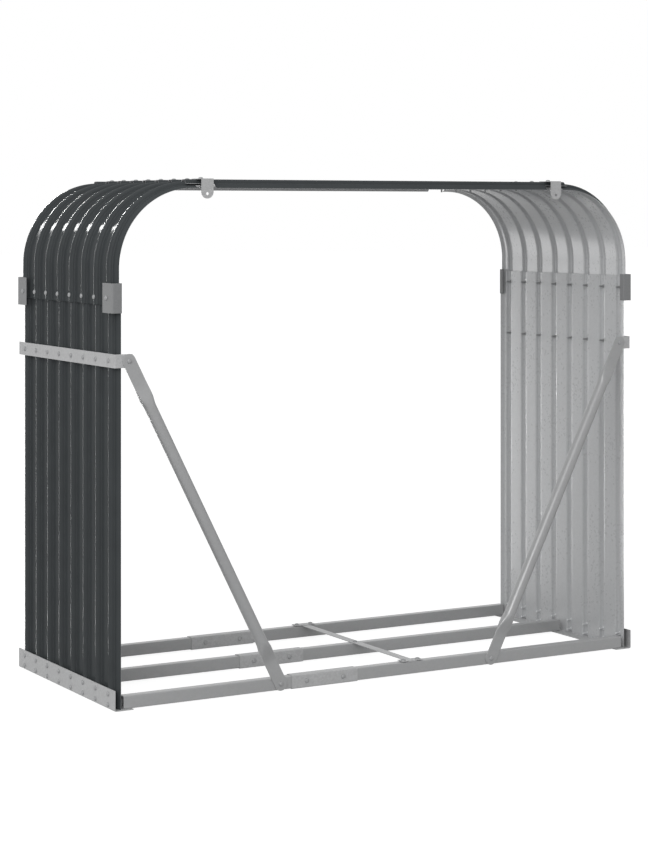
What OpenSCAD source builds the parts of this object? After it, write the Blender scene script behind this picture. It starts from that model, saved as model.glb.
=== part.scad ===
// Log store: an open steel frame with ribbed sheet walls, curved ribbed corners and a ribbed flat roof.
// The front faces -Y and the ground is Z = 0.

/* [Overall] */
// Width over the outer faces of the two base angles
store_w = 1867; // [1400:1:2400]
// Height of the roof sheet's rib crests above the ground
roof_h = 1541.5; // [1200:0.5:2000]

/* [Ribbed sheet] */
// Number of ribs across the depth of a sheet
rib_count = 8; // [5:1:12]
// Distance from one rib to the next
rib_pitch = 91; // [70:0.5:130]
// Height of a rib above the flat of the sheet
rib_h = 12.5; // [8:0.5:16]
// Width of a rib's flat crest
crest_w = 23; // [14:0.5:32]
// Sideways run of a rib's steep flank
flank_run = 2.25; // [1.5:0.05:4]
// Thickness of the sheet
sheet_t = 1; // [0.6:0.1:1.2]
// Flat past each outermost rib, from its centre line to the bend of the stiffened edge
edge_flat = 27.5; // [22:0.5:40]
// Depth of a stiffened edge, front to back
edge_run = 13.5; // [8:0.5:24]
// How far a stiffened edge is bent in from the flat
edge_drop = 7.5; // [4:0.5:12]

/* [Curved corners] */
// Outer radius of a corner sheet at its rib crests
curve_r = 256; // [200:1:320]
// Straight length of a corner sheet below its curve
corner_wall_leg = 107; // [80:1:160]
// Straight length of a corner sheet between its curve and the cut of its stiffened edges
corner_rest = 11; // [4:1:60]
// Distance from a corner sheet's lower end to its row of bolts
lap_edge = 22; // [16:1:30]
// How far a wall sheet runs past that row, inside the corner sheet
wall_lap = 38; // [16:1:50]
// Distance from a corner sheet's upper end to the roof lap's row of bolts
roof_lap_edge = 31; // [20:1:45]
// How far the roof sheet runs past that row, over the corner sheet
roof_lap = 58; // [25:1:70]
// Length of stiffened edge cut away on each side of that row, where roof and corner lap
edge_cut = 38; // [22:1:45]
// Room between the flanks of two sheets that lap
nest_gap = 0.1; // [0.05:0.05:0.3]

/* [Base] */
// Width of each leg of a base angle
base_leg = 60; // [45:1:80]
// Thickness of a base angle
base_t = 2.5; // [2:0.1:4]
// Length of a base angle past the centre line of the outermost rib
base_over = 47.5; // [44:0.5:70]

/* [Floor rails] */
// Height of a floor rail
rail_h = 37.5; // [30:0.5:50]
// Width of a floor rail, front to back
rail_w = 30; // [20:0.5:45]
// Wall thickness of a floor rail
rail_t = 1.5; // [1:0.1:3]
// Setback of the outer rails from the ends of the base angles
rail_setback = 10; // [4:0.5:30]
// Gap from a rail's end to the inside of the wall sheet
rail_end_gap = 17; // [6:0.5:30]
// Place across the width where the two lengths of each rail meet, left of the middle
rail_split = 228; // [120:1:300]
// Gap between the two lengths of a rail, inside the sleeve
rail_joint_gap = 2; // [0.5:0.1:4]
// Length of the sleeve over a rail joint
sleeve_len = 230; // [160:1:300]
// Wall thickness of a sleeve
sleeve_t = 1.5; // [1:0.1:2]
// Room between a sleeve and the rail inside it
sleeve_gap = 0.25; // [0.1:0.05:0.4]

/* [Cross strap] */
// Place of the cross strap across the width, right of the middle
cross_x = 89; // [0:1:300]
// Width of the cross strap
cross_w = 29; // [20:1:45]
// Thickness of the cross strap
cross_t = 2; // [1.5:0.1:4]
// Length of the plate over each end of the cross strap
end_plate_len = 76; // [54:1:110]
// Thickness of the plate over each end of the cross strap
end_plate_t = 2; // [1.5:0.1:4]

/* [Wall straps] */
// Distance from the corner sheets' lower ends down to the middle of the wall straps
strap_below = 160; // [110:1:300]
// Width of a wall strap
strap_w = 40; // [30:0.5:60]
// Thickness of a wall strap
strap_t = 2; // [1.5:0.1:3]
// Length of a wall strap past the outermost rib at the back
strap_back_over = 45.5; // [30:0.5:60]
// Gap between a sheet's front edge and the strap's inward tab
tab_gap = 2; // [1:0.1:6]
// Length of the strap's inward tab
tab_len = 57.5; // [48:0.5:80]
// Distance from the tab's end to the brace bolt
tab_bolt_edge = 12; // [10:0.5:16]

/* [Braces] */
// Diameter of a brace tube
brace_d = 32; // [24:0.5:38]
// Width of a brace's flattened ends
brace_flat_w = 42; // [34:0.5:50]
// Thickness of a brace's flattened ends
brace_flat_t = 3; // [2.4:0.1:4]
// Length of a flattened end, from its bolt to the start of the round tube's flare
brace_flat_len = 118; // [80:1:160]
// Length of the flare from a flattened end to the round tube
brace_flare_len = 34; // [20:1:60]
// Distance of a brace's lower bolt from the middle of the store
brace_foot_x = 382; // [300:1:520]

/* [Edge clamps] */
// Height of an edge clamp
clamp_h = 87; // [60:1:120]
// Thickness of an edge clamp
clamp_t = 2; // [1.5:0.1:4]
// Length of the clamp's outer leg back from the sheet's edge
clamp_side_len = 70; // [62:1:90]
// Length of the clamp's lip inside the sheet's edge
clamp_lip_len = 20; // [10:1:30]
// Gap between the sheet's edge and the clamp
clamp_gap = 0.5; // [0.3:0.1:2]

/* [Hangers] */
// Width of a hanger bracket
hanger_w = 40; // [30:0.5:46]
// Thickness of a hanger bracket
hanger_t = 2; // [1.5:0.1:3]
// Length of the hanger's leg on the roof, back from the outermost rib's centre line
hanger_top_len = 20; // [12:0.5:40]
// Height of a hanger from its top face to its rounded lower end
hanger_drop = 59.5; // [50:0.5:90]
// Height of the hanger's hole above its lower end
hanger_hole_up = 14.5; // [10:0.5:20]
// Diameter of the hanger's hole
hanger_hole_d = 9; // [6:0.5:14]

/* [Hidden] */
$fn = 96;
half_w = store_w / 2;
rib_half = (rib_count - 1) * rib_pitch / 2;
flank_angle = atan2(rib_h, flank_run);
edge_angle = atan2(edge_drop, edge_run);
// Shifts of a bend's inner corner that keep the sheet's thickness even
flank_shift = sheet_t * tan(flank_angle / 2);
edge_shift = sheet_t * tan(edge_angle / 2);
// How far a lapping sheet stands proud when its flanks seat on the sheet below
nest_step = (sheet_t + nest_gap) / cos(flank_angle);
// How far the stiffened edges reach from the middle, front and back
sheet_edge = rib_half + edge_flat + edge_run;
base_half = rib_half + base_over;

crest_x = half_w - base_t;
pan_x = crest_x - rib_h;
corner_crest_x = crest_x + nest_step;
corner_top = roof_h - nest_step;
arc_x = corner_crest_x - curve_r;
arc_z = corner_top - curve_r;
corner_low = arc_z - corner_wall_leg;
wall_bolt_z = corner_low + lap_edge;
wall_top = wall_bolt_z + wall_lap;
// Where the stiffened edges of the corners and of the roof stop short of the roof lap
corner_edge_end = arc_x - corner_rest;
roof_bolt_x = corner_edge_end - edge_cut;
roof_edge_end = roof_bolt_x - edge_cut;
corner_end = roof_bolt_x - roof_lap_edge;
roof_end = roof_bolt_x + roof_lap;

rail_y = base_half - rail_setback - rail_w / 2;
rail_end = pan_x - sheet_t - rail_end_gap;
rail_top = base_t + rail_h;
rail_front = -rail_y - rail_w / 2;

strap_x = crest_x + strap_t;
strap_z = corner_low - strap_below;
tab_front = -(sheet_edge + tab_gap + strap_t);
brace_top = [-(strap_x - tab_len + tab_bolt_edge), tab_front - brace_flat_t / 2, strap_z];
brace_foot = [-brace_foot_x, rail_front - brace_flat_t / 2, base_t + rail_h / 2];
// The tube runs midway between the planes of its two flattened ends
brace_y = (brace_top[1] + brace_foot[1]) / 2;
brace_run = brace_foot[0] - brace_top[0];
brace_rise = brace_top[2] - brace_foot[2];
brace_len = norm([brace_run, brace_rise]);
brace_tilt = atan2(brace_run, brace_rise);
tube_start = brace_flat_len + brace_flare_len;
// Room the brace's side outline leaves outside the round tube
flare_room = 1;
// How far short of the flare's end its round outline closes to the tube, so that no part stands proud
flare_ease = 6;

clamp_plane = sheet_edge + clamp_gap + clamp_t;
// The part is centred front to back on its own outer reach
front_reach = max(brace_d / 2 - brace_y, brace_flat_t / 2 - brace_top[1]);
back_reach = max(clamp_plane, base_half, rib_half + strap_back_over);
centre_shift = (front_reach - back_reach) / 2;

paint = [0.24, 0.26, 0.27];
zinc = [0.70, 0.71, 0.72];

// Place of a rib along the depth, the first one at the back
function rib_s(k) = rib_half - k * rib_pitch;

// One rib's corners from back to front, set in by shift for the underside at level
function rib_points(k, level, shift) = [
    [rib_s(k) + crest_w / 2 + flank_run - shift, level],
    [rib_s(k) + crest_w / 2 - shift, level + rib_h],
    [rib_s(k) - crest_w / 2 + shift, level + rib_h],
    [rib_s(k) - crest_w / 2 - flank_run + shift, level]
];

// One face of the sheet from the bend of its back edge to the bend of its front edge
function sheet_face(level, shift, bend_shift) = concat(
    [[rib_half + edge_flat - bend_shift, level]],
    [for (k = [0:rib_count - 1]) each rib_points(k, level, shift)],
    [[-rib_half - edge_flat + bend_shift, level]]
);

// A run of points in the other order
function turned(points) = [for (i = [len(points) - 1:-1:0]) points[i]];

// Outline of a ribbed sheet as [depth, height over the flat], with both edges bent in
function sheet_outline() =
    let (
        tip = [sheet_edge, -edge_drop],
        tip_in = tip - sheet_t * [sin(edge_angle), cos(edge_angle)]
    )
    concat(
        [tip], sheet_face(0, 0, 0), [[-tip[0], tip[1]], [-tip_in[0], tip_in[1]]],
        turned(sheet_face(-sheet_t, flank_shift, edge_shift)), [tip_in]
    );

// The same sheet with its bent edges cut away
function plain_outline() = concat(sheet_face(0, 0, 0), turned(sheet_face(-sheet_t, flank_shift, 0)));

// Puts a piece in the part's own frame
module placed() {
    translate([0, centre_shift, 0]) children();
}

// A copy of a left-hand piece on the right
module mirrored() {
    mirror([1, 0, 0]) children();
}

// A sheet standing on its end, its flat's outer face at x on the left
module standing_sheet(x, low, high) {
    translate([-x, 0, low])
        rotate([0, 0, 90])
            linear_extrude(height = high - low)
                polygon(sheet_outline());
}

// A level length of sheet with the given outline, its flat's top face at z
module lying_sheet(outline, z, from_x, to_x) {
    translate([from_x, 0, z])
        rotate([90, 0, 90])
            linear_extrude(height = to_x - from_x)
                polygon(outline);
}

// A corner sheet turned through a quarter circle, its straight leg under the roof cut plain at the lap
module corner_sheet() {
    flat_z = corner_top - rib_h;
    standing_sheet(corner_crest_x - rib_h, corner_low, arc_z);
    translate([-arc_x, 0, arc_z])
        rotate([90, 0, 180])
            rotate_extrude(angle = 90)
                polygon([for (p = sheet_outline()) [curve_r - rib_h + p[1], p[0]]]);
    lying_sheet(sheet_outline(), flat_z, -arc_x, -corner_edge_end);
    lying_sheet(plain_outline(), flat_z, -corner_edge_end, -corner_end);
}

module left_wall_panel() {
    color(paint) placed() standing_sheet(pan_x, base_t, wall_top);
}

module right_wall_panel() {
    color(paint) placed() mirrored() standing_sheet(pan_x, base_t, wall_top);
}

module left_corner_panel() {
    color(paint) placed() corner_sheet();
}

module right_corner_panel() {
    color(paint) placed() mirrored() corner_sheet();
}

module roof_panel() {
    flat_z = roof_h - rib_h;
    color(paint) placed() {
        lying_sheet(plain_outline(), flat_z, -roof_end, -roof_edge_end);
        lying_sheet(sheet_outline(), flat_z, -roof_edge_end, roof_edge_end);
        lying_sheet(plain_outline(), flat_z, roof_edge_end, roof_end);
    }
}

module base_angle() {
    translate([-half_w, base_half, 0])
        rotate([90, 0, 0])
            linear_extrude(height = 2 * base_half)
                polygon([
                    [0, 0], [base_leg, 0], [base_leg, base_t],
                    [base_t, base_t], [base_t, base_leg], [0, base_leg]
                ]);
}

module left_base_angle() {
    color(zinc) placed() base_angle();
}

module right_base_angle() {
    color(zinc) placed() mirrored() base_angle();
}

// A rectangular tube along X, its outside w deep and h tall, centred at y with its underside at z
module box_tube(from_x, to_x, y, z, w, h, t) {
    translate([from_x, y, z])
        rotate([90, 0, 90])
            linear_extrude(height = to_x - from_x)
                difference() {
                    translate([-w / 2, 0]) square([w, h]);
                    translate([t - w / 2, t]) square([w - 2 * t, h - 2 * t]);
                }
}

module rail_left(y) {
    color(zinc) placed()
        box_tube(-rail_end, -rail_split - rail_joint_gap / 2, y, base_t, rail_w, rail_h, rail_t);
}

module rail_right(y) {
    color(zinc) placed()
        box_tube(-rail_split + rail_joint_gap / 2, rail_end, y, base_t, rail_w, rail_h, rail_t);
}

// A larger tube slid over the place where two lengths of rail meet
module rail_sleeve(y) {
    wrap = sleeve_gap + sleeve_t;
    color(zinc) placed()
        box_tube(
            -rail_split - sleeve_len / 2, -rail_split + sleeve_len / 2, y, base_t - wrap,
            rail_w + 2 * wrap, rail_h + 2 * wrap, sleeve_t
        );
}

module front_rail_left() { rail_left(-rail_y); }
module front_rail_right() { rail_right(-rail_y); }
module middle_rail_left() { rail_left(0); }
module middle_rail_right() { rail_right(0); }
module back_rail_left() { rail_left(rail_y); }
module back_rail_right() { rail_right(rail_y); }
module front_rail_sleeve() { rail_sleeve(-rail_y); }
module middle_rail_sleeve() { rail_sleeve(0); }
module back_rail_sleeve() { rail_sleeve(rail_y); }

// A flat strap from the front rail to the back one, over the middle rail
module cross_strap() {
    reach = rail_y + rail_w / 2;
    color(zinc) placed()
        translate([cross_x - cross_w / 2, -reach, rail_top])
            cube([cross_w, 2 * reach, cross_t]);
}

// A short plate that clamps an end of the cross strap to its rail
module cross_strap_plate(y) {
    color(zinc) placed()
        translate([cross_x - end_plate_len / 2, y - rail_w / 2, rail_top + cross_t])
            cube([end_plate_len, rail_w, end_plate_t]);
}

module cross_strap_front_plate() { cross_strap_plate(-rail_y); }
module cross_strap_back_plate() { cross_strap_plate(rail_y); }

// A strap along the outside of the ribs, bent in at the front to take the brace
module wall_strap() {
    back = rib_half + strap_back_over;
    translate([0, 0, strap_z - strap_w / 2])
        linear_extrude(height = strap_w)
            polygon([
                [-crest_x, back], [-strap_x, back], [-strap_x, tab_front],
                [-strap_x + tab_len, tab_front], [-strap_x + tab_len, tab_front + strap_t],
                [-crest_x, tab_front + strap_t]
            ]);
}

module left_wall_strap() {
    color(zinc) placed() wall_strap();
}

module right_wall_strap() {
    color(zinc) placed() mirrored() wall_strap();
}

// A brace's outline seen from the front, from its foot bolt up to its top bolt
module brace_front_outline() {
    circle(d = brace_flat_w);
    translate([0, brace_len]) circle(d = brace_flat_w);
    translate([-brace_flat_w / 2, 0]) square([brace_flat_w, brace_len]);
}

// A brace's outline seen from its side, where the tube is pressed flat towards each end
module brace_side_outline() {
    room = brace_d / 2 + flare_room;
    foot = brace_foot[1] - brace_y;
    top = brace_top[1] - brace_y;
    half = brace_flat_t / 2;
    polygon([
        [foot - half, -brace_flat_w], [foot - half, brace_flat_len], [-room, tube_start],
        [-room, brace_len - tube_start], [top - half, brace_len - brace_flat_len],
        [top - half, brace_len + brace_flat_w], [top + half, brace_len + brace_flat_w],
        [top + half, brace_len - brace_flat_len], [room, brace_len - tube_start],
        [room, tube_start], [foot + half, brace_flat_len], [foot + half, -brace_flat_w]
    ]);
}

// A round tube's half outline that opens out to clear the flattened ends
module brace_round_outline() {
    clear = brace_flat_w / 2 + flare_room + brace_d / 4;
    polygon([
        [0, -brace_flat_w], [clear, -brace_flat_w], [clear, brace_flat_len],
        [brace_d / 2, tube_start - flare_ease], [brace_d / 2, brace_len - tube_start + flare_ease],
        [clear, brace_len - brace_flat_len], [clear, brace_len + brace_flat_w],
        [0, brace_len + brace_flat_w]
    ]);
}

// A round tube with both ends pressed flat, from the front rail up to the wall strap's tab
module brace() {
    translate([brace_foot[0], brace_y, brace_foot[2]])
        rotate([0, -brace_tilt, 0])
            intersection() {
                rotate([90, 0, 0])
                    linear_extrude(height = 2 * brace_d, center = true) brace_front_outline();
                rotate([90, 0, 90])
                    linear_extrude(height = 2 * brace_flat_w, center = true) brace_side_outline();
                rotate_extrude() brace_round_outline();
            }
}

module left_brace() {
    color(zinc) placed() brace();
}

module right_brace() {
    color(zinc) placed() mirrored() brace();
}

// A clip round the front edges of the left lap, bolted through the outermost rib
module edge_clamp() {
    outer = corner_crest_x + clamp_t;
    lip = pan_x - edge_drop - sheet_t - clamp_gap;
    translate([0, 0, wall_bolt_z - clamp_h / 2])
        linear_extrude(height = clamp_h)
            polygon([
                [-outer, clamp_side_len - clamp_plane], [-outer, -clamp_plane],
                [clamp_t - lip, -clamp_plane], [clamp_t - lip, clamp_lip_len - clamp_plane],
                [-lip, clamp_lip_len - clamp_plane], [-lip, clamp_t - clamp_plane],
                [-corner_crest_x, clamp_t - clamp_plane],
                [-corner_crest_x, clamp_side_len - clamp_plane]
            ]);
}

module front_left_clamp() {
    color(zinc) placed() edge_clamp();
}

module front_right_clamp() {
    color(zinc) placed() mirrored() edge_clamp();
}

module back_left_clamp() {
    color(zinc) placed() mirror([0, 1, 0]) edge_clamp();
}

module back_right_clamp() {
    color(zinc) placed() rotate([0, 0, 180]) edge_clamp();
}

// An angle bracket on the front rib of a roof lap, with a round-ended drop plate
module hanger() {
    translate([-roof_bolt_x, tab_front, roof_h]) {
        translate([-hanger_w / 2, 0, 0])
            cube([hanger_w, hanger_top_len - rib_half - tab_front, hanger_t]);
        translate([0, hanger_t, hanger_t - hanger_drop])
            rotate([90, 0, 0])
                linear_extrude(height = hanger_t)
                    difference() {
                        hanger_plate_outline();
                        translate([0, hanger_hole_up]) circle(d = hanger_hole_d);
                    }
    }
}

// Outline of a hanger's drop plate, its lower end at the origin
module hanger_plate_outline() {
    translate([0, hanger_w / 2]) circle(d = hanger_w);
    translate([-hanger_w / 2, hanger_w / 2]) square([hanger_w, hanger_drop - hanger_w / 2]);
}

module left_hanger() {
    color(zinc) placed() hanger();
}

module right_hanger() {
    color(zinc) placed() mirrored() hanger();
}

left_wall_panel();
right_wall_panel();
left_corner_panel();
right_corner_panel();
roof_panel();
left_base_angle();
right_base_angle();
front_rail_left();
front_rail_right();
middle_rail_left();
middle_rail_right();
back_rail_left();
back_rail_right();
front_rail_sleeve();
middle_rail_sleeve();
back_rail_sleeve();
cross_strap();
cross_strap_front_plate();
cross_strap_back_plate();
left_wall_strap();
right_wall_strap();
left_brace();
right_brace();
front_left_clamp();
front_right_clamp();
back_left_clamp();
back_right_clamp();
left_hanger();
right_hanger();
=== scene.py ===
"""Looks of a log store: ribbed sheets with rounded bends, brackets, bolts, finishes and a plain stage."""

import math
from typing import NamedTuple

import bmesh
import bpy
from bpy.props import FloatProperty, FloatVectorProperty, IntProperty, PointerProperty
from mathutils import Matrix, Vector


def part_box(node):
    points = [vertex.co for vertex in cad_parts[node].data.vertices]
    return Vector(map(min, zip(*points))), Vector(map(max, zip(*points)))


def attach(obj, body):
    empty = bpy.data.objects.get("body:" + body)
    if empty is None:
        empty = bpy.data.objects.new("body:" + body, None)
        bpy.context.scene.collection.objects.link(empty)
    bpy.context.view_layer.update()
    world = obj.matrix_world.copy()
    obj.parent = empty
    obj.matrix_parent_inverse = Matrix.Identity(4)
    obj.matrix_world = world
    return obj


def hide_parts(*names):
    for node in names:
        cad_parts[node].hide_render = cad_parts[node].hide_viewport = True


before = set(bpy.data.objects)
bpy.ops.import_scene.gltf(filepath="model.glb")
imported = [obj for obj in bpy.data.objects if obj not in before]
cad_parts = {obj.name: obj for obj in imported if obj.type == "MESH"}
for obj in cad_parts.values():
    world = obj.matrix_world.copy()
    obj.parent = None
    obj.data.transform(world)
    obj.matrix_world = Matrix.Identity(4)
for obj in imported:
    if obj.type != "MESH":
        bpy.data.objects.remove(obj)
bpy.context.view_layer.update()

bl_info = {
    "name": "Log store",
    "version": (1, 0, 0),
    "blender": (4, 5, 0),
    "location": "View3D > Sidebar > Log store",
    "description": "Dresses the packed log store with formed sheets, bolts, finishes and a stage",
    "category": "Object",
}

SIDES = {"left": -1, "right": 1}
RAIL_ROWS = ("front", "middle", "back")
# Powers of a brace's outline: a circle, and the near rectangle of its flattened ends
ROUND = 2
BRACE_SQUARE = 7
# Steps and sides of round forms
PLATE_BEND_STEPS = 5
BRACE_TIP_STEPS = 8
BRACE_FLARE_STEPS = 30
BRACE_SIDES = 48
DOME_STEPS = 6
BOLT_SIDES = 20
NUT_SIDES = 6
# Shares of a bolt: a head's upright rim in its height, and a tip's chamfer in the shank's radius
HEAD_RIM = 0.25
TIP_CHAMFER = 0.25
# Points nearer than this are joined, and edges sharper than this angle are not smoothed
SAME_POINT = 1e-6
SHARP_EDGE = math.radians(38)
# Noise of the zinc's soft clouds, and of the waves in the paint with their darkest and lightest tone
CLOUD_SCALE = 9
CLOUD_DETAIL = 4
WAVE_SCALE = 14
WAVE_DETAIL = 3
WAVE_TONES = (0.88, 1.12)
# Stage: half the floor's side, the far end of the view and the frame that the focal length is given for
FLOOR_HALF = 60
VIEW_END = 200
SENSOR_WIDTH = 36
WHITE = (1, 1, 1, 1)
KEY_PLACE = (-4.8, -4.0, 3.2)
KEY_TARGET = (0, 0, 0.7)
KEY_SIZE = (5.5, 5.5)
LEFT_BEND = (-0.9, 0, 1.4)


class GlossLamp(NamedTuple):
    """A lamp that draws only the gloss of some pieces, and the stage setting with its power."""

    name: str
    setting: str
    place: tuple
    target: tuple
    size: tuple
    pieces: tuple


GLOSS_LAMPS = (
    GlossLamp(
        "Rim lamp", "rim_lamp", place=(-4.1, 13.8, 6.4), target=LEFT_BEND, size=(1.05, 1.05),
        pieces=("left_corner_sheet",),
    ),
    GlossLamp(
        "Streak lamp", "streak_lamp", place=(0.93, 11.57, 4.0), target=LEFT_BEND, size=(2.9, 1.9),
        pieces=("left_corner_sheet",),
    ),
    GlossLamp(
        "Left strip", "left_strip", place=(-0.85, 1.0, 0.85), target=(-0.85, 0, 0.85), size=(0.55, 1.7),
        pieces=("left_wall_sheet", "left_corner_sheet"),
    ),
    GlossLamp(
        "Floor strip", "floor_strip", place=(-0.965, 0.9, 0.01), target=(-0.965, 0.9, 1), size=(0.07, 1.0),
        pieces=("left_wall_sheet",),
    ),
    GlossLamp(
        "Right strip", "right_strip", place=(0.82, 1.0, 0.75), target=(0.82, 0, 0.75), size=(0.4, 1.5),
        pieces=("right_wall_sheet",),
    ),
    GlossLamp(
        "Corner lamp", "corner_lamp", place=(0.25, 1.0, 1.1), target=(0.9, 0, 1.3), size=(0.6, 0.4),
        pieces=("right_corner_sheet",),
    ),
    GlossLamp(
        "Brace lamp", "brace_lamp", place=(-3.0, -3.0, 1.5), target=(0.6, -0.3, 0.5), size=(1.5, 2.0),
        pieces=("right_brace_tube",),
    ),
)


# Settings


def length_setting(name, description, default):
    """A length that a user can change."""
    return FloatProperty(name=name, description=description, default=default, unit="LENGTH")


def power_setting(name, description, default):
    """A lamp's power that a user can change."""
    return FloatProperty(name=name, description=description, default=default, unit="POWER")


def share_setting(name, description, default):
    """A share from nought to one that a user can change."""
    return FloatProperty(name=name, description=description, default=default, subtype="FACTOR", min=0, max=1)


def colour_setting(name, description, default):
    """A colour that a user can change."""
    return FloatVectorProperty(
        name=name, description=description, default=default, subtype="COLOR", size=3, min=0, max=1
    )


class StoreSheetSettings(bpy.types.PropertyGroup):
    """Form of the ribbed sheets."""

    rib_count: IntProperty(name="Ribs", description="Number of ribs on a sheet", default=8, min=2)
    rib_pitch: length_setting("Rib pitch", "Distance from one rib to the next", 0.091)
    crest_width: length_setting("Crest width", "Width of a rib's flat crest", 0.023)
    rib_height: length_setting("Rib height", "Height of a rib over the flat", 0.0125)
    flank_run: length_setting("Flank run", "Sideways run of a rib's flank", 0.00225)
    edge_flat: length_setting(
        "Edge flat", "From an outermost rib's centre line to the bend of the stiffened edge", 0.0275
    )
    edge_run: length_setting("Edge run", "Depth of a stiffened edge", 0.0135)
    edge_drop: length_setting("Edge drop", "How far a stiffened edge is bent in", 0.0075)
    roof_edge_drop: length_setting("Roof edge drop", "How far the roof's edges are bent down", 0.0135)
    thickness: length_setting("Thickness", "Thickness of the sheet", 0.001)
    crest_bend: length_setting("Crest bend", "Middle radius of the bends at a rib's crest", 0.01)
    foot_bend: length_setting("Foot bend", "Middle radius of the bends at a rib's foot", 0.005)
    edge_bend: length_setting("Edge bend", "Middle radius of a stiffened edge's bend", 0.004)
    bend_steps: IntProperty(name="Bend steps", description="Steps round each bend", default=6, min=2)
    curve_radius: length_setting("Curve radius", "Outer radius of a corner at its crests", 0.256)
    curve_steps: IntProperty(
        name="Curve steps", description="Steps along a corner's curve", default=48, min=8
    )
    roof_lap: length_setting("Roof lap", "From the roof sheet's end to its row of bolts", 0.058)
    edge_cut: length_setting(
        "Edge cut", "Length of stiffened edge cut away on each side of that row", 0.031
    )


class StoreBracketSettings(bpy.types.PropertyGroup):
    """Form of the folded plates, the braces and the floor rails."""

    base_thickness: length_setting("Base angle", "Thickness of a base angle", 0.0025)
    plate_thickness: length_setting("Plates", "Thickness of the wall straps and edge clamps", 0.002)
    plate_bend: length_setting("Plate bend", "Middle radius of a folded plate's bend", 0.003)
    clamp_lip: length_setting("Clamp lip", "Depth of an edge clamp's inner lip", 0.02)
    brace_diameter: length_setting("Brace tube", "Diameter of a brace's tube", 0.036)
    brace_flat: length_setting("Brace end", "Thickness of a brace's flattened ends", 0.003)
    brace_width: length_setting("Brace end width", "Width of a brace's flattened ends", 0.042)
    brace_flat_length: length_setting(
        "Brace end length", "From a brace's bolt to where its end narrows", 0.118
    )
    brace_flare: length_setting("Brace flare", "Length over which an end narrows to the tube", 0.034)
    brace_swell: length_setting("Brace swell", "How far the swelling to the tube starts before that", 0.045)
    rail_thickness: length_setting("Rail wall", "Wall thickness of rails and sleeves", 0.0015)
    rail_corner: length_setting("Rail corner", "Middle radius of a rail's corners", 0.0025)


class StoreBoltSettings(bpy.types.PropertyGroup):
    """Sizes and places of the bolts."""

    head_radius: length_setting("Head radius", "Radius of a bolt's domed head", 0.0072)
    head_height: length_setting("Head height", "Height of a bolt's domed head", 0.0048)
    shank_radius: length_setting("Shank radius", "Radius of a bolt's shank", 0.003)
    nut_radius: length_setting("Nut radius", "Radius of a nut over its corners", 0.0058)
    nut_height: length_setting("Nut height", "Height of a nut", 0.005)
    tip_length: length_setting("Tip", "Length of shank past the nut", 0.017)
    base_upper: length_setting("Upper base row", "Height of the upper row of base bolts", 0.044)
    base_lower: length_setting("Lower base row", "Height of the lower row of base bolts", 0.0125)
    lap_edge: length_setting("Lap row", "From a corner sheet's end to its row of bolts", 0.022)
    sleeve_edge: length_setting("Sleeve bolts", "From a sleeve's end to its bolt", 0.051)
    tab_edge: length_setting("Tab bolt", "From the end of a wall strap's tab to its bolt", 0.012)
    plate_edge: length_setting("Strap plate bolts", "From a strap plate's end to its bolt", 0.012)


class StoreFinishSettings(bpy.types.PropertyGroup):
    """Colours of the finishes."""

    paint: colour_setting("Paint", "Dark paint outside the sheets", (0.058, 0.064, 0.067))
    sheet_zinc: colour_setting("Sheet zinc", "Bare zinc inside the sheets", (0.51, 0.518, 0.526))
    plate_zinc: colour_setting("Plate zinc", "Galvanised plates and angles", (0.475, 0.479, 0.483))
    clamp_zinc: colour_setting("Clamp zinc", "Duller zinc of the edge clamps", (0.22, 0.224, 0.228))
    tube_zinc: colour_setting("Tube zinc", "Galvanised rails and braces", (0.39, 0.394, 0.398))
    bolt_zinc: colour_setting("Bolt zinc", "Zinc of the bolts", (0.34, 0.345, 0.35))
    bright_zinc: colour_setting("Bright zinc", "Bright nuts and tips of the base bolts", (0.72, 0.73, 0.74))
    paint_roughness: share_setting("Paint roughness", "Roughness of the paint under its clear coat", 0.6)
    coat_weight: share_setting("Coat weight", "Strength of the paint's clear coat", 0.1)
    coat_roughness: share_setting("Coat roughness", "Roughness of the paint's clear coat", 0.1)


class StoreStageSettings(bpy.types.PropertyGroup):
    """Camera, floor and light."""

    camera_place: FloatVectorProperty(
        name="Camera place", description="Camera position", subtype="TRANSLATION", size=3, unit="LENGTH",
        default=(-3.5762, -6.1779, 1.45),
    )
    camera_turn: FloatProperty(
        name="Camera turn", description="Camera heading to the right of straight back", subtype="ANGLE",
        default=math.radians(29.857),
    )
    focal_length: FloatProperty(
        name="Focal length", description="Lens in millimetres on a 36 mm frame", default=91.78
    )
    view_shift: FloatProperty(
        name="View shift", description="Upright shift of the lens", default=-0.2569
    )
    floor_colour: colour_setting("Floor", "Colour of the floor", (0.3, 0.3, 0.3))
    floor_glow: FloatProperty(
        name="Floor glow", description="White that the floor adds in the picture itself", default=0.86
    )
    ambient: FloatProperty(name="Ambient", description="Strength of the soft light all round", default=0.72)
    key_lamp: power_setting("Key lamp", "Power of the broad lamp at the front left", 170)
    rim_lamp: power_setting("Rim lamp", "Power of the far lamp that spots the corner's flats", 300)
    streak_lamp: power_setting("Streak lamp", "Power of the far lamp that draws the corner's ribs", 3000)
    left_strip: power_setting("Left strip", "Power of the lamp that draws the left wall's ribs", 60)
    floor_strip: power_setting("Floor strip", "Power of the lamp that draws the left ribs' feet", 9)
    right_strip: power_setting("Right strip", "Power of the lamp that draws the right wall's ribs", 30)
    corner_lamp: power_setting("Corner lamp", "Power of the lamp that lights the right corner's foot", 3)
    brace_lamp: power_setting("Brace lamp", "Power of the lamp that draws the right brace", 180)


def sheet_settings():
    return bpy.context.scene.store_sheet


def bracket_settings():
    return bpy.context.scene.store_bracket


def bolt_settings():
    return bpy.context.scene.store_bolt


def finish_settings():
    return bpy.context.scene.store_finish


def stage_settings():
    return bpy.context.scene.store_stage


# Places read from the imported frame


def middle_y():
    """Middle line of the sheets and base angles, front to back."""
    low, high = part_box("left_base_angle")
    return (low[1] + high[1]) / 2


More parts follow.
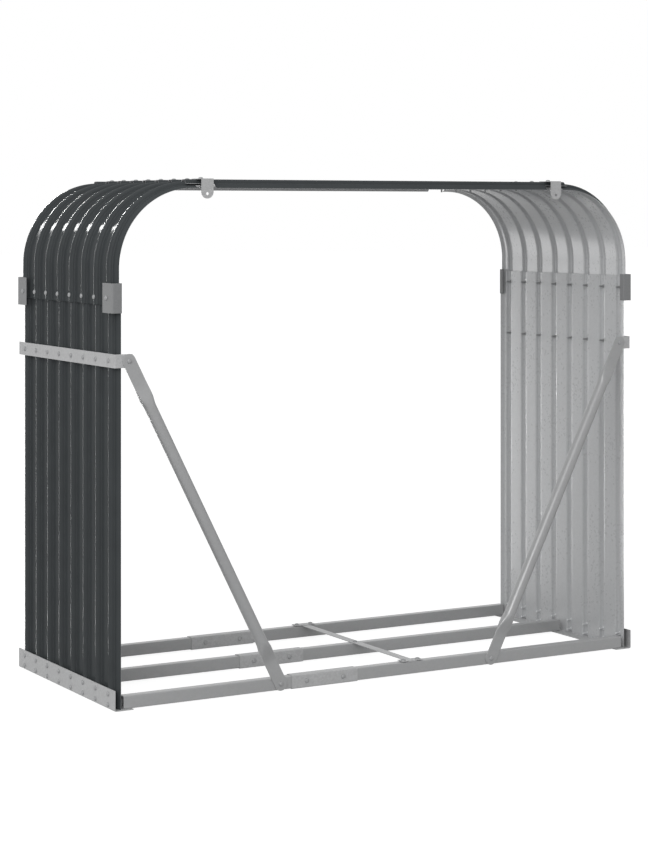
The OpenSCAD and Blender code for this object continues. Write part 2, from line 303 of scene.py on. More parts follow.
def outer_x(node, hand):
    """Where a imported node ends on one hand: -1 for the left and 1 for the right."""
    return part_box(node)[hand > 0][0]


def rib_places():
    """Places of the ribs along the depth, the first one at the back."""
    s = sheet_settings()
    first = middle_y() + (s.rib_count - 1) * s.rib_pitch / 2
    return [first - k * s.rib_pitch for k in range(s.rib_count)]


# Mesh helpers


def outward(direction):
    """Normal on the right of a direction in the plane of a profile."""
    return Vector((direction.y, -direction.x))


def rounded_line(corners, radii, closed=False, steps=PLATE_BEND_STEPS):
    """Points and normals along a bent strip's middle line, with each corner rounded to its radius."""
    corners = [Vector(c) for c in corners]
    count = len(corners)
    line = []
    for i, (corner, radius) in enumerate(zip(corners, radii)):
        if not closed and i in (0, count - 1):
            ahead = corners[1] - corner if i == 0 else corner - corners[i - 1]
            line.append((corner, outward(ahead.normalized())))
            continue
        arrive = (corner - corners[i - 1]).normalized()
        leave = (corners[(i + 1) % count] - corner).normalized()
        turn = math.atan2(arrive.x * leave.y - arrive.y * leave.x, arrive.dot(leave))
        hand = math.copysign(1, turn)
        start = corner - arrive * radius * math.tan(abs(turn) / 2)
        centre = start - outward(arrive) * radius * hand
        for k in range(steps + 1):
            normal = outward(arrive).copy()
            normal.rotate(Matrix.Rotation(turn * k / steps, 2))
            line.append((centre + normal * radius * hand, normal))
    return line


def formed_strip(name, line, thickness, stations, materials, closed=False, trims=None):
    """A strip of even thickness along a profile line, swept through stations that place its two axes.

    The faces on the normals' side take the first material and the others the last. Between two stations
    the strip leaves off as many of the line's first and last points as its trim says.
    """
    bm = bmesh.new()
    rows = []
    for place in stations:
        rows.append([
            [bm.verts.new(place(*(point + normal * side * thickness / 2))) for point, normal in line]
            for side in (1, -1)
        ])
    count = len(line)
    inner = len(materials) - 1
    stretches = len(stations) - 1
    if closed:
        spans = [set(range(count))] * stretches
    else:
        spans = [set(range(trim, count - 1 - trim)) for trim in trims or [0] * stretches]

    def face(corners, material):
        bm.faces.new(corners).material_index = material

    for here, there, span in zip(rows, rows[1:], spans):
        for i in span:
            j = (i + 1) % count
            face((here[0][i], here[0][j], there[0][j], there[0][i]), 0)
            face((here[1][i], there[1][i], there[1][j], here[1][j]), inner)
        if not closed:
            for i in (min(span), max(span) + 1):
                face((here[0][i], there[0][i], there[1][i], here[1][i]), inner)
    for end, before, after in zip(rows, [set(), *spans], [*spans, set()]):
        for i in before ^ after:
            j = (i + 1) % count
            face((end[0][i], end[0][j], end[1][j], end[1][i]), inner)
    bmesh.ops.delete(bm, geom=[v for v in bm.verts if not v.link_faces], context="VERTS")
    bmesh.ops.recalc_face_normals(bm, faces=bm.faces)
    return finished_piece(name, bm, materials)


def finished_piece(name, bm, materials):
    """Turns a mesh in the making into a smooth-shaded piece that rides on the frame."""
    mesh = bpy.data.meshes.new(name)
    bm.to_mesh(mesh)
    bm.free()
    mesh.polygons.foreach_set("use_smooth", [True] * len(mesh.polygons))
    mesh.set_sharp_from_angle(angle=SHARP_EDGE)
    for material in materials:
        mesh.materials.append(material)
    piece = bpy.data.objects.new(name, mesh)
    bpy.context.collection.objects.link(piece)
    shading = piece.modifiers.new("Even shading", "WEIGHTED_NORMAL")
    shading.keep_sharp = True
    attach(piece, "root")
    return piece


# Finishes


def new_group(name, inputs, outputs):
    """A shader node group with its sockets, and its input and output nodes."""
    group = bpy.data.node_groups.new(name, "ShaderNodeTree")
    for in_out, sockets in (("INPUT", inputs), ("OUTPUT", outputs)):
        for label, kind in sockets:
            group.interface.new_socket(label, in_out=in_out, socket_type=kind)
    return group, group.nodes.new("NodeGroupInput"), group.nodes.new("NodeGroupOutput")


def zinc_spangle_group():
    """Fine crystals and soft clouds of a zinc coat, as a colour and a roughness."""
    name = "Zinc spangle"
    if name in bpy.data.node_groups:
        return bpy.data.node_groups[name]
    group, given, result = new_group(
        name,
        [
            ("Colour", "NodeSocketColor"),
            ("Grain", "NodeSocketFloat"),
            ("Contrast", "NodeSocketFloat"),
            ("Roughness", "NodeSocketFloat"),
        ],
        [("Colour", "NodeSocketColor"), ("Roughness", "NodeSocketFloat")],
    )
    nodes, links = group.nodes, group.links
    place = nodes.new("ShaderNodeTexCoord")
    crystals = nodes.new("ShaderNodeTexVoronoi")
    crystals.feature = "F1"
    links.new(place.outputs["Object"], crystals.inputs["Vector"])
    links.new(given.outputs["Grain"], crystals.inputs["Scale"])
    clouds = nodes.new("ShaderNodeTexNoise")
    clouds.inputs["Scale"].default_value = CLOUD_SCALE
    clouds.inputs["Detail"].default_value = CLOUD_DETAIL
    links.new(place.outputs["Object"], clouds.inputs["Vector"])
    crystal_tone = nodes.new("ShaderNodeSeparateColor")
    links.new(crystals.outputs["Color"], crystal_tone.inputs["Color"])
    tone = nodes.new("ShaderNodeMath")
    tone.operation = "ADD"
    links.new(crystal_tone.outputs["Red"], tone.inputs[0])
    links.new(clouds.outputs["Fac"], tone.inputs[1])
    # Crystals and clouds have a mean of a half each, so their sum is brought to a mean of nought
    centred = nodes.new("ShaderNodeMath")
    centred.operation = "SUBTRACT"
    centred.inputs[1].default_value = 1
    links.new(tone.outputs[0], centred.inputs[0])
    gain = nodes.new("ShaderNodeMath")
    gain.operation = "MULTIPLY_ADD"
    gain.inputs[2].default_value = 1
    links.new(centred.outputs[0], gain.inputs[0])
    links.new(given.outputs["Contrast"], gain.inputs[1])
    tinted = nodes.new("ShaderNodeVectorMath")
    tinted.operation = "SCALE"
    links.new(given.outputs["Colour"], tinted.inputs[0])
    links.new(gain.outputs[0], tinted.inputs["Scale"])
    links.new(tinted.outputs[0], result.inputs["Colour"])
    rough = nodes.new("ShaderNodeMath")
    rough.operation = "MULTIPLY"
    links.new(given.outputs["Roughness"], rough.inputs[0])
    links.new(gain.outputs[0], rough.inputs[1])
    links.new(rough.outputs[0], result.inputs["Roughness"])
    return group


def new_material(name):
    """An empty material with its shader, ready for values and links."""
    material = bpy.data.materials.new(name)
    material.use_nodes = True
    return material, material.node_tree.nodes["Principled BSDF"]


def zinc_material(name, colour, grain, contrast, roughness, metallic=0):
    """A zinc finish with its own tone and grain."""
    if name in bpy.data.materials:
        return bpy.data.materials[name]
    material, shader = new_material(name)
    tree = material.node_tree
    coat = tree.nodes.new("ShaderNodeGroup")
    coat.node_tree = zinc_spangle_group()
    coat.inputs["Colour"].default_value = (*colour, 1)
    coat.inputs["Grain"].default_value = grain
    coat.inputs["Contrast"].default_value = contrast
    coat.inputs["Roughness"].default_value = roughness
    tree.links.new(coat.outputs["Colour"], shader.inputs["Base Color"])
    tree.links.new(coat.outputs["Roughness"], shader.inputs["Roughness"])
    shader.inputs["Metallic"].default_value = metallic
    return material


def sheet_paint():
    """Dark paint outside the sheets, its colour made lighter and darker in faint random waves."""
    finish = finish_settings()
    name = "Sheet paint"
    if name in bpy.data.materials:
        return bpy.data.materials[name]
    material, shader = new_material(name)
    tree = material.node_tree
    waves = tree.nodes.new("ShaderNodeTexNoise")
    waves.inputs["Scale"].default_value = WAVE_SCALE
    waves.inputs["Detail"].default_value = WAVE_DETAIL
    place = tree.nodes.new("ShaderNodeTexCoord")
    tree.links.new(place.outputs["Object"], waves.inputs["Vector"])
    tone = tree.nodes.new("ShaderNodeMapRange")
    darkest, lightest = WAVE_TONES
    tone.inputs["To Min"].default_value = darkest
    tone.inputs["To Max"].default_value = lightest
    tree.links.new(waves.outputs["Fac"], tone.inputs["Value"])
    tinted = tree.nodes.new("ShaderNodeVectorMath")
    tinted.operation = "SCALE"
    tinted.inputs[0].default_value = finish.paint
    tree.links.new(tone.outputs[0], tinted.inputs["Scale"])
    tree.links.new(tinted.outputs[0], shader.inputs["Base Color"])
    shader.inputs["Roughness"].default_value = finish.paint_roughness
    shader.inputs["Specular IOR Level"].default_value = 0
    shader.inputs["Coat Weight"].default_value = finish.coat_weight
    shader.inputs["Coat Roughness"].default_value = finish.coat_roughness
    return material


def sheet_zinc():
    colour = finish_settings().sheet_zinc
    return zinc_material("Sheet zinc", colour, grain=160, contrast=0.05, roughness=0.28)


def plate_zinc():
    colour = finish_settings().plate_zinc
    return zinc_material("Plate zinc", colour, grain=190, contrast=0.14, roughness=0.45)


def clamp_zinc():
    colour = finish_settings().clamp_zinc
    return zinc_material("Clamp zinc", colour, grain=190, contrast=0.08, roughness=0.45)


def tube_zinc():
    colour = finish_settings().tube_zinc
    return zinc_material("Tube zinc", colour, grain=150, contrast=0.04, roughness=0.3)


def bolt_zinc():
    colour = finish_settings().bolt_zinc
    return zinc_material("Bolt zinc", colour, grain=400, contrast=0.05, roughness=0.3, metallic=0.2)


def bright_zinc():
    colour = finish_settings().bright_zinc
    return zinc_material("Bright zinc", colour, grain=400, contrast=0.05, roughness=0.3, metallic=0.2)


def finish_node(node, material):
    """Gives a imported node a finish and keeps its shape."""
    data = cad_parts[node].data
    data.materials.clear()
    data.materials.append(material)


# Ribbed sheets


def sheet_line(drop):
    """Middle line of a ribbed sheet as depth and height, from its back edge to its front edge."""
    s = sheet_settings()
    level = -s.thickness / 2
    flank = math.atan2(s.rib_height, s.flank_run)
    fold = math.atan2(drop, s.edge_run)
    crest = s.crest_width / 2 - s.thickness / 2 * math.tan(flank / 2)
    foot = crest + s.flank_run
    ribs = rib_places()
    bend = ribs[0] + s.edge_flat
    tip_in = s.thickness / 2 * Vector((math.sin(fold), math.cos(fold)))
    back = [
        Vector((bend + s.edge_run, -drop)) - tip_in,
        Vector((bend - s.thickness / 2 * math.tan(fold / 2), level)),
    ]
    corners = list(back)
    for rib in ribs:
        corners += [
            (rib + foot, level),
            (rib + crest, s.rib_height + level),
            (rib - crest, s.rib_height + level),
            (rib - foot, level),
        ]
    corners += [(2 * middle_y() - depth, height) for depth, height in reversed(back)]
    edge = [s.edge_bend] * len(back)
    rib_bends = [s.foot_bend, s.crest_bend, s.crest_bend, s.foot_bend]
    return rounded_line(corners, edge + rib_bends * len(ribs) + edge, steps=s.bend_steps)


def sheet_station(origin, normal):
    """Places a profile point at a station, its depth along Y and its height along the normal."""
    origin, normal = Vector(origin), Vector(normal)

    def place(depth, height):
        return origin + Vector((0, depth, 0)) + normal * height

    return place


def ribbed_sheet(name, node, stations, drop, cut=()):
    """A ribbed sheet through its stations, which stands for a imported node.

    Its stiffened edges are bent in by the drop, and cut away on the stretches in cut.
    """
    s = sheet_settings()
    trims = [s.bend_steps + 1 if k in cut else 0 for k in range(len(stations) - 1)]
    finishes = [sheet_paint(), sheet_zinc()]
    piece = formed_strip(name, sheet_line(drop), s.thickness, stations, finishes, trims=trims)
    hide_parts(node)


def roof_bolt_row():
    """Distance of the roof laps' rows of bolts from the middle."""
    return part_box("roof_panel")[1][0] - sheet_settings().roof_lap


class StoreWallSheets(bpy.types.Operator):
    """Make the two upright ribbed sheets"""

    bl_idname = "log_store.wall_sheets"
    bl_label = "Wall sheets"

    def execute(self, context):
        for side, hand in SIDES.items():
            low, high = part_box(f"{side}_wall_panel")
            flat = outer_x(f"{side}_wall_panel", hand) - hand * sheet_settings().rib_height
            stations = [sheet_station((flat, 0, z), (hand, 0, 0)) for z in (low[2], high[2])]
            ribbed_sheet(f"{side}_wall_sheet", f"{side}_wall_panel", stations, sheet_settings().edge_drop)
        return {"FINISHED"}


class StoreCornerSheets(bpy.types.Operator):
    """Make the two ribbed sheets that turn from wall to roof"""

    bl_idname = "log_store.corner_sheets"
    bl_label = "Corner sheets"

    def execute(self, context):
        s = sheet_settings()
        flat = s.curve_radius - s.rib_height
        for side, hand in SIDES.items():
            node = f"{side}_corner_panel"
            low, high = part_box(node)
            centre = Vector((outer_x(node, hand) - hand * s.curve_radius, 0, high[2] - s.curve_radius))
            stations = [sheet_station((centre.x + hand * flat, 0, low[2]), (hand, 0, 0))]
            for k in range(s.curve_steps + 1):
                angle = math.pi / 2 * k / s.curve_steps
                normal = Vector((hand * math.cos(angle), 0, math.sin(angle)))
                stations.append(sheet_station(centre + normal * flat, normal))
            for x in (hand * (roof_bolt_row() + s.edge_cut), outer_x(node, -hand)):
                stations.append(sheet_station((x, 0, centre.z + flat), (0, 0, 1)))
            ribbed_sheet(f"{side}_corner_sheet", node, stations, s.edge_drop, cut=[len(stations) - 2])
        return {"FINISHED"}


class StoreRoofSheet(bpy.types.Operator):
    """Make the level ribbed sheet of the roof"""

    bl_idname = "log_store.roof_sheet"
    bl_label = "Roof sheet"

    def execute(self, context):
        s = sheet_settings()
        low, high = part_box("roof_panel")
        folded = roof_bolt_row() - s.edge_cut
        ends = (low[0], -folded, folded, high[0])
        stations = [sheet_station((x, 0, high[2] - s.rib_height), (0, 0, 1)) for x in ends]
        ribbed_sheet("roof_sheet", "roof_panel", stations, s.roof_edge_drop, cut=[0, 2])
        return {"FINISHED"}


# Folded plates and tubes


def folded_plate(name, node, corners, thickness, stations, finish):
    """A plate folded along a line of corners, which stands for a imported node."""
    line = rounded_line(corners, [bracket_settings().plate_bend] * len(corners))
    piece = formed_strip(name, line, thickness, stations, [finish])
    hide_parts(node)


def along_depth(y):
    return lambda across, up: Vector((across, y, up))


def along_height(z):
    return lambda across, depth: Vector((across, depth, z))


def along_width(x):
    return lambda depth, up: Vector((x, depth, up))


class StoreBaseAngles(bpy.types.Operator):
    """Make the two angles that the walls stand in"""

    bl_idname = "log_store.base_angles"
    bl_label = "Base angles"

    def execute(self, context):
        t = bracket_settings().base_thickness
        for side, hand in SIDES.items():
            low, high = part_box(f"{side}_base_angle")
            wall = outer_x(f"{side}_base_angle", hand) - hand * t / 2
            inner = outer_x(f"{side}_base_angle", -hand)
            corners = [(wall, high[2]), (wall, low[2] + t / 2), (inner, low[2] + t / 2)]
            stations = [along_depth(y) for y in (low[1], high[1])]
            folded_plate(f"{side}_base_plate", f"{side}_base_angle", corners, t, stations, plate_zinc())
        return {"FINISHED"}


class StoreWallStraps(bpy.types.Operator):
    """Make the two straps that hold the ribs and take the braces"""

    bl_idname = "log_store.wall_straps"
    bl_label = "Wall straps"

    def execute(self, context):
        t = bracket_settings().plate_thickness
        for side, hand in SIDES.items():
            low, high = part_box(f"{side}_wall_strap")
            run = outer_x(f"{side}_wall_strap", hand) - hand * t / 2
            inner = outer_x(f"{side}_wall_strap", -hand)
            front = low[1] + t / 2
            corners = [(run, high[1]), (run, front), (inner, front)]
            stations = [along_height(z) for z in (low[2], high[2])]
            folded_plate(f"{side}_strap", f"{side}_wall_strap", corners, t, stations, plate_zinc())
        return {"FINISHED"}


class StoreEdgeClamps(bpy.types.Operator):
    """Make the four brackets round the edges of the wall laps"""

    bl_idname = "log_store.edge_clamps"
    bl_label = "Edge clamps"

    def execute(self, context):
        b = bracket_settings()
        t = b.plate_thickness
        for side, hand in SIDES.items():
            for row in ("front", "back"):
                node = f"{row}_{side}_clamp"
                low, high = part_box(node)
                edge, far = (low[1], high[1]) if row == "front" else (high[1], low[1])
                inward = math.copysign(1, far - edge)
                run = outer_x(node, hand) - hand * t / 2
                lip = outer_x(node, -hand) + hand * t / 2
                web = edge + inward * t / 2
                corners = [(run, far), (run, web), (lip, web), (lip, edge + inward * b.clamp_lip)]
                stations = [along_height(z) for z in (low[2], high[2])]
                folded_plate(f"{row}_{side}_clip", node, corners, t, stations, clamp_zinc())
        return {"FINISHED"}


def square_tube(name, node, finish):
    """A rectangular tube with rounded corners along X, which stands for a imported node."""
    b = bracket_settings()
    low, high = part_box(node)
    half = b.rail_thickness / 2
    corners = [
        (low[1] + half, low[2] + half),
        (high[1] - half, low[2] + half),
        (high[1] - half, high[2] - half),
        (low[1] + half, high[2] - half),
    ]
    line = rounded_line(corners, [b.rail_corner] * len(corners), closed=True)
    stations = [along_width(x) for x in (low[0], high[0])]
    piece = formed_strip(name, line, b.rail_thickness, stations, [finish], closed=True)
    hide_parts(node)


class StoreFloorRails(bpy.types.Operator):
    """Make the floor rails and the sleeves over their joints"""

    bl_idname = "log_store.floor_rails"
    bl_label = "Floor rails"

    def execute(self, context):
        for row in RAIL_ROWS:
            for side in SIDES:
                square_tube(f"{row}_{side}_rail_tube", f"{row}_rail_{side}", tube_zinc())
            square_tube(f"{row}_sleeve_tube", f"{row}_rail_sleeve", plate_zinc())
        return {"FINISHED"}


def brace_ends(side, hand):
    """Middles of a brace's two flattened ends at their bolts, the foot first."""
    half = bracket_settings().brace_flat / 2
    strap = f"{side}_wall_strap"
    tab_low, tab_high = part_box(strap)
    rail_low, rail_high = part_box("front_rail_left")
    foot_x = outer_x(f"{side}_brace", -hand) + hand * bracket_settings().brace_width / 2
    top_x = outer_x(strap, -hand) + hand * bolt_settings().tab_edge
    foot = Vector((foot_x, rail_low[1] - half, (rail_low[2] + rail_high[2]) / 2))
    return foot, Vector((top_x, tab_low[1] - half, (tab_low[2] + tab_high[2]) / 2))


def eased(share):
    """Smooth step from nought to one."""
    share = min(max(share, 0), 1)
    return share * share * (3 - 2 * share)


def brace_section(reach):
    """Half width, half thickness, squareness and share of tube at a reach from an end's bolt."""
    b = bracket_settings()
    end = b.brace_width / 2
    tube = b.brace_diameter / 2
    narrowed = eased((reach - b.brace_flat_length) / b.brace_flare)
    start = b.brace_flat_length - b.brace_swell
    swollen = eased((reach - start) / (b.brace_flare + b.brace_swell))
    width = math.sqrt(max(end ** 2 - min(reach, 0) ** 2, 0))
    return (
        width + (tube - width) * narrowed,
        b.brace_flat / 2 + (tube - b.brace_flat / 2) * swollen,
        BRACE_SQUARE + (ROUND - BRACE_SQUARE) * swollen,
        swollen,
    )


def bent_power(value, power):
    """Power of a number that keeps its sign."""
    return math.copysign(abs(value) ** power, value)


def brace_tube(name, node, foot, top):
    """A tube with both ends pressed flat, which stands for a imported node."""
    b = bracket_settings()
    axis = Vector((top.x - foot.x, 0, top.z - foot.z))
    length = axis.length
    axis.normalize()
    across = axis.cross(Vector((0, 1, 0)))
    half = b.brace_width / 2
    blend = b.brace_flat_length + b.brace_flare
    tips = [-half * math.cos(math.pi / 2 * k / BRACE_TIP_STEPS) for k in range(BRACE_TIP_STEPS)]
    flats = [blend * k / BRACE_FLARE_STEPS for k in range(BRACE_FLARE_STEPS + 1)]
    reaches = tips + flats
    tube_y = (foot.y + top.y) / 2
    rings = []
    for end_y, places in (
        (foot.y, [(reach, reach) for reach in reaches]),
        (top.y, [(length - reach, reach) for reach in reversed(reaches)]),
    ):
        for along, reach in places:
            wide, deep, square, swollen = brace_section(reach)
            centre = Vector((foot.x, end_y + (tube_y - end_y) * swollen, foot.z)) + axis * along
            ring = []
            for k in range(BRACE_SIDES):
                angle = 2 * math.pi * k / BRACE_SIDES
                side = wide * bent_power(math.cos(angle), ROUND / square)
                out = deep * bent_power(math.sin(angle), ROUND / square)
                ring.append(centre + across * side + Vector((0, out, 0)))
            rings.append(ring)
    bm = bmesh.new()
    loops = [[bm.verts.new(point) for point in ring] for ring in rings]
    for below, above in zip(loops, loops[1:]):
        for k in range(BRACE_SIDES):
            j = (k + 1) % BRACE_SIDES
            bm.faces.new((below[k], below[j], above[j], above[k]))
    bm.faces.new(loops[0])
    bm.faces.new(loops[-1])
    bmesh.ops.remove_doubles(bm, verts=bm.verts, dist=SAME_POINT)
    bmesh.ops.recalc_face_normals(bm, faces=bm.faces)
    piece = finished_piece(name, bm, [tube_zinc()])
    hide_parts(node)


class StoreBraces(bpy.types.Operator):
    """Make the two slanted tubes with their ends pressed flat"""

    bl_idname = "log_store.braces"
    bl_label = "Braces"

    def execute(self, context):
        for side, hand in SIDES.items():
            brace_tube(f"{side}_brace_tube", f"{side}_brace", *brace_ends(side, hand))
        return {"FINISHED"}


class StoreCrossStrap(bpy.types.Operator):
    """Finish the strap across the rails and its end plates"""

    bl_idname = "log_store.cross_strap"
    bl_label = "Cross strap"

    def execute(self, context):
        for node in ("cross_strap", "cross_strap_front_plate", "cross_strap_back_plate"):
            finish_node(node, plate_zinc())
        return {"FINISHED"}


class StoreHangers(bpy.types.Operator):
    """Finish the two hanger brackets under the roof's front edge"""

    bl_idname = "log_store.hangers"
    bl_label = "Hangers"

    def execute(self, context):
        for side in SIDES:
            finish_node(f"{side}_hanger", plate_zinc())
        return {"FINISHED"}


# Bolts


def bolt_frame(place, direction):
    """Matrix that stands a bolt at a place with its head along a direction."""
    turn = Vector((0, 0, 1)).rotation_difference(Vector(direction))
    return Matrix.Translation(place) @ turn.to_matrix().to_4x4()


def add_lathe(bm, outline, sides, matrix, material=0):
    """Adds a turned solid with its outline given as radius and height, from axis to axis."""
    rings = []
    for radius, height in outline:
        if radius == 0:
            rings.append([bm.verts.new(matrix @ Vector((0, 0, height)))])
            continue
        ring = []
        for k in range(sides):
            angle = 2 * math.pi * k / sides
            point = Vector((radius * math.cos(angle), radius * math.sin(angle), height))
            ring.append(bm.verts.new(matrix @ point))
        rings.append(ring)
    for below, above in zip(rings, rings[1:]):
        for k in range(sides):
            j = (k + 1) % sides
            corners = [ring[i % len(ring)] for ring, i in ((below, k), (below, j), (above, j), (above, k))]
            bm.faces.new(list(dict.fromkeys(corners))).material_index = material


def dome_outline(radius, height):
    """Outline of a domed head with a short upright rim."""
    rim = height * HEAD_RIM
    arc = [math.pi / 2 * k / DOME_STEPS for k in range(DOME_STEPS)]
    dome = [(radius * math.cos(a), rim + (height - rim) * math.sin(a)) for a in arc]
    return [(0, 0), (radius, 0)] + dome + [(0, height)]


def add_bolt(bm, place, direction, grip):
    """Adds one bolt with its head on a face, and its nut behind what it grips if a grip is given."""
    b = bolt_settings()
    frame_matrix = bolt_frame(place, direction)
    add_lathe(bm, dome_outline(b.head_radius, b.head_height), BOLT_SIDES, frame_matrix)
    if grip is None:
        return
    nut_end = -grip - b.nut_height
    tip = nut_end - b.tip_length
    chamfer = b.shank_radius * TIP_CHAMFER
    shank = [
        (0, 0),
        (b.shank_radius, 0),
        (b.shank_radius, tip + chamfer),
        (b.shank_radius - chamfer, tip),
        (0, tip),
    ]
    add_lathe(bm, shank, BOLT_SIDES, frame_matrix, material=1)
    nut = [(0, -grip), (b.nut_radius, -grip), (b.nut_radius, nut_end), (0, nut_end)]
    add_lathe(bm, nut, NUT_SIDES, frame_matrix, material=1)


def bolt_set(name, bolts, tips=bolt_zinc):
    """One piece of many bolts, each given as place, direction of its head and grip."""
    bm = bmesh.new()
    for place, direction, grip in bolts:
        add_bolt(bm, place, direction, grip)
    bmesh.ops.recalc_face_normals(bm, faces=bm.faces)
    piece = finished_piece(name, bm, [bolt_zinc(), tips()])


class StoreWallBolts(bpy.types.Operator):
    """Bolt the ribs to the base angles and the wall straps"""

    bl_idname = "log_store.wall_bolts"
    bl_label = "Wall bolts"

    def execute(self, context):
        b = bolt_settings()
        sheet = sheet_settings().thickness
        for side, hand in SIDES.items():
            head = (hand, 0, 0)
            base = outer_x(f"{side}_base_angle", hand)
            grip = bracket_settings().base_thickness + sheet
            rows = (b.base_lower, b.base_upper)
            bolts = [((base, y, z), head, grip) for y in rib_places() for z in rows]
            bolt_set(f"{side}_base_bolts", bolts, tips=bright_zinc)
            low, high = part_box(f"{side}_wall_strap")
            face = outer_x(f"{side}_wall_strap", hand)
            grip = bracket_settings().plate_thickness + sheet
            middle = (low[2] + high[2]) / 2
            bolt_set(f"{side}_strap_bolts", [((face, y, middle), head, grip) for y in rib_places()])
        return {"FINISHED"}


class StoreLapBolts(bpy.types.Operator):
    """Bolt the corner sheets to the walls and to the roof"""

    bl_idname = "log_store.lap_bolts"
    bl_label = "Lap bolts"

    def execute(self, context):
        b = bolt_settings()
        plate = bracket_settings().plate_thickness
        sheet = sheet_settings().thickness
        for side, hand in SIDES.items():
            ribs = rib_places()
            corner = f"{side}_corner_panel"
            low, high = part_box(corner)
            crest = outer_x(corner, hand)
            grip = abs(crest - outer_x(f"{side}_wall_panel", hand)) + sheet
            walls = []
            for y in ribs:
                under = plate if y in (ribs[0], ribs[-1]) else 0
                walls.append(((crest + hand * under, y, low[2] + b.lap_edge), (hand, 0, 0), grip + under))
            bolt_set(f"{side}_wall_lap_bolts", walls)
            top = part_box("roof_panel")[1][2]
            grip = top - high[2] + sheet
            roofs = []
            for y in ribs:
                under = plate if y == ribs[-1] else 0
                roofs.append(((hand * roof_bolt_row(), y, top + under), (0, 0, 1), grip + under))
            bolt_set(f"{side}_roof_lap_bolts", roofs)
        return {"FINISHED"}


class StoreFloorBolts(bpy.types.Operator):
    """Bolt the sleeves, the cross strap and the braces"""

    bl_idname = "log_store.floor_bolts"
    bl_label = "Floor bolts"

    def execute(self, context):
        b = bolt_settings()
        ahead, up = (0, -1, 0), (0, 0, 1)
        sleeves = []
        for row in RAIL_ROWS:
            low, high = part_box(f"{row}_rail_sleeve")
            middle = (low[2] + high[2]) / 2
            for x in (low[0] + b.sleeve_edge, high[0] - b.sleeve_edge):
                sleeves.append(((x, low[1], middle), ahead, high[1] - low[1]))
        bolt_set("sleeve_bolts", sleeves)
        strap = []
        for row in ("front", "back"):
            low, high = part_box(f"cross_strap_{row}_plate")
            y = (low[1] + high[1]) / 2
            strap += [((x, y, high[2]), up, None) for x in (low[0] + b.plate_edge, high[0] - b.plate_edge)]
        low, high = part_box("cross_strap")
        strap.append((((low[0] + high[0]) / 2, middle_y(), high[2]), up, None))
        bolt_set("cross_strap_bolts", strap)
        flat = bracket_settings().brace_flat
        rail_low, rail_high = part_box("front_rail_left")
        for side, hand in SIDES.items():
            foot, top = (end - Vector((0, flat / 2, 0)) for end in brace_ends(side, hand))
            foot_grip = flat + rail_high[1] - rail_low[1]
            top_grip = flat + bracket_settings().plate_thickness
            bolt_set(f"{side}_brace_bolts", [(top, ahead, top_grip), (foot, ahead, foot_grip)])
        return {"FINISHED"}


# Stage


def area_lamp(name, place, target, size, power):
    """A lamp of a width and height at a place, facing a target and hidden from the camera."""
    lamp = bpy.data.lights.new(name, "AREA")
    lamp.shape = "RECTANGLE"
    lamp.size, lamp.size_y = size
    lamp.energy = power
    holder = bpy.data.objects.new(name, lamp)
    holder.location = place
    holder.rotation_euler = (Vector(target) - Vector(place)).to_track_quat("-Z", "Y").to_euler()
    holder.visible_camera = False
    bpy.context.collection.objects.link(holder)
    return holder


def gloss_lamp(lamp, power):
    """Sets up a lamp that draws only the gloss of its pieces."""
    holder = area_lamp(lamp.name, lamp.place, lamp.target, lamp.size, power)
    holder.visible_diffuse = False
    lit = bpy.data.collections.new(lamp.name)
    for piece in lamp.pieces:
        lit.objects.link(bpy.data.objects[piece])
    holder.light_linking.receiver_collection = lit


def picture_rays(nodes, links):
    """One where a ray comes from the camera, a gloss or a clear piece, and nought elsewhere."""
    path = nodes.new("ShaderNodeLightPath")
    seen = path.outputs["Is Camera Ray"]
    for label in ("Is Glossy Ray", "Is Transmission Ray"):
        either = nodes.new("ShaderNodeMath")
        either.operation = "MAXIMUM"
        links.new(seen, either.inputs[0])
        links.new(path.outputs[label], either.inputs[1])
        seen = either.outputs[0]
    return seen


def floor_material():
    """Pale floor that is white in the picture and keeps the shadow."""
    material, shader = new_material("Pale floor")
    stage = stage_settings()
    shader.inputs["Base Color"].default_value = (*stage.floor_colour, 1)
    shader.inputs["Roughness"].default_value = 1
    shader.inputs["Specular IOR Level"].default_value = 0
    tree = material.node_tree
    glow = tree.nodes.new("ShaderNodeMath")
    glow.operation = "MULTIPLY"
    glow.inputs[1].default_value = stage.floor_glow
    tree.links.new(picture_rays(tree.nodes, tree.links), glow.inputs[0])
    shader.inputs["Emission Color"].default_value = WHITE
    tree.links.new(glow.outputs[0], shader.inputs["Emission Strength"])
    return material


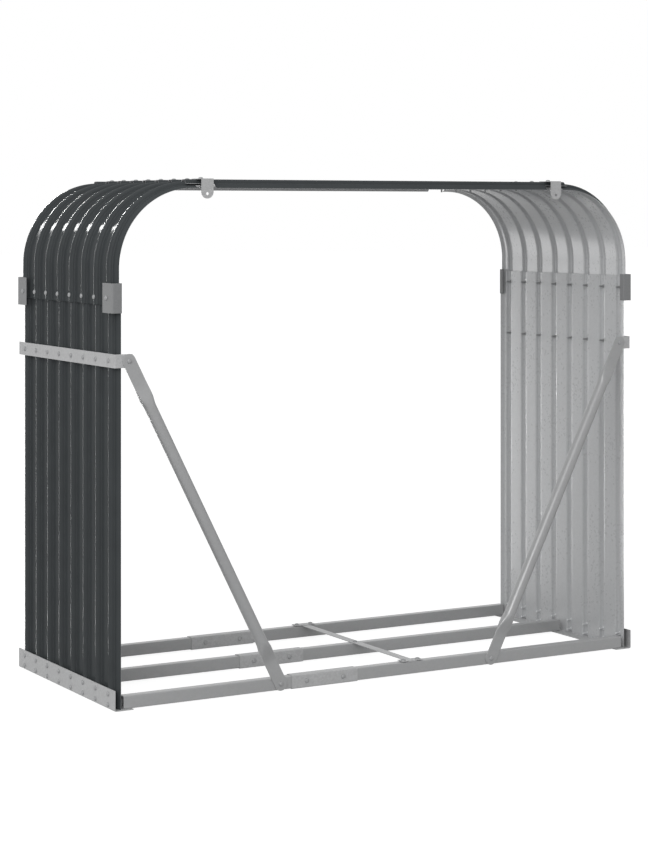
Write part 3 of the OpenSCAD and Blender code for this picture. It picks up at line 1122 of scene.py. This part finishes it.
class StoreStage(bpy.types.Operator):
    """Set up the floor, the light and the camera"""

    bl_idname = "log_store.stage"
    bl_label = "Stage"

    def execute(self, context):
        stage = stage_settings()
        scene = context.scene
        bm = bmesh.new()
        quarters = ((-1, -1), (1, -1), (1, 1), (-1, 1))
        bm.faces.new([bm.verts.new((x * FLOOR_HALF, y * FLOOR_HALF, 0)) for x, y in quarters])
        mesh = bpy.data.meshes.new("Floor")
        bm.to_mesh(mesh)
        bm.free()
        mesh.materials.append(floor_material())
        floor = bpy.data.objects.new("Floor", mesh)
        context.collection.objects.link(floor)

        world = bpy.data.worlds.new("Soft white")
        world.use_nodes = True
        scene.world = world
        tree = world.node_tree
        sky = tree.nodes["Background"]
        sky.inputs["Color"].default_value = WHITE
        level = tree.nodes.new("ShaderNodeMapRange")
        level.inputs["To Min"].default_value = stage.ambient
        level.inputs["To Max"].default_value = 1
        tree.links.new(picture_rays(tree.nodes, tree.links), level.inputs["Value"])
        tree.links.new(level.outputs[0], sky.inputs["Strength"])

        area_lamp("Key lamp", KEY_PLACE, KEY_TARGET, KEY_SIZE, stage.key_lamp)
        for lamp in GLOSS_LAMPS:
            gloss_lamp(lamp, getattr(stage, lamp.setting))

        lens = bpy.data.cameras.new("Camera")
        lens.sensor_fit = "AUTO"
        lens.sensor_width = SENSOR_WIDTH
        lens.lens = stage.focal_length
        lens.shift_y = stage.view_shift
        lens.clip_end = VIEW_END
        camera = bpy.data.objects.new("Camera", lens)
        camera.location = stage.camera_place
        camera.rotation_euler = (math.pi / 2, 0, -stage.camera_turn)
        context.collection.objects.link(camera)
        scene.camera = camera
        scene.view_settings.view_transform = "Standard"
        return {"FINISHED"}


OPERATORS = (
    StoreWallSheets,
    StoreCornerSheets,
    StoreRoofSheet,
    StoreBaseAngles,
    StoreWallStraps,
    StoreEdgeClamps,
    StoreFloorRails,
    StoreBraces,
    StoreCrossStrap,
    StoreHangers,
    StoreWallBolts,
    StoreLapBolts,
    StoreFloorBolts,
    StoreStage,
)


class StorePanel(bpy.types.Panel):
    """Lists the steps that dress the store"""

    bl_idname = "VIEW3D_PT_log_store"
    bl_label = "Log store"
    bl_space_type = "VIEW_3D"
    bl_region_type = "UI"
    bl_category = "Log store"

    def draw(self, context):
        for operator in OPERATORS:
            self.layout.operator(operator.bl_idname)


SETTINGS = {
    "store_sheet": StoreSheetSettings,
    "store_bracket": StoreBracketSettings,
    "store_bolt": StoreBoltSettings,
    "store_finish": StoreFinishSettings,
    "store_stage": StoreStageSettings,
}
CLASSES = (*SETTINGS.values(), *OPERATORS, StorePanel)


def register():
    for item in CLASSES:
        bpy.utils.register_class(item)
    for name, settings in SETTINGS.items():
        setattr(bpy.types.Scene, name, PointerProperty(type=settings))


def unregister():
    for name in SETTINGS:
        delattr(bpy.types.Scene, name)
    for item in reversed(CLASSES):
        bpy.utils.unregister_class(item)


def main():
    register()
    for operator in OPERATORS:
        group, step = operator.bl_idname.split(".")
        getattr(getattr(bpy.ops, group), step)()


if __name__ == "__main__":
    main()
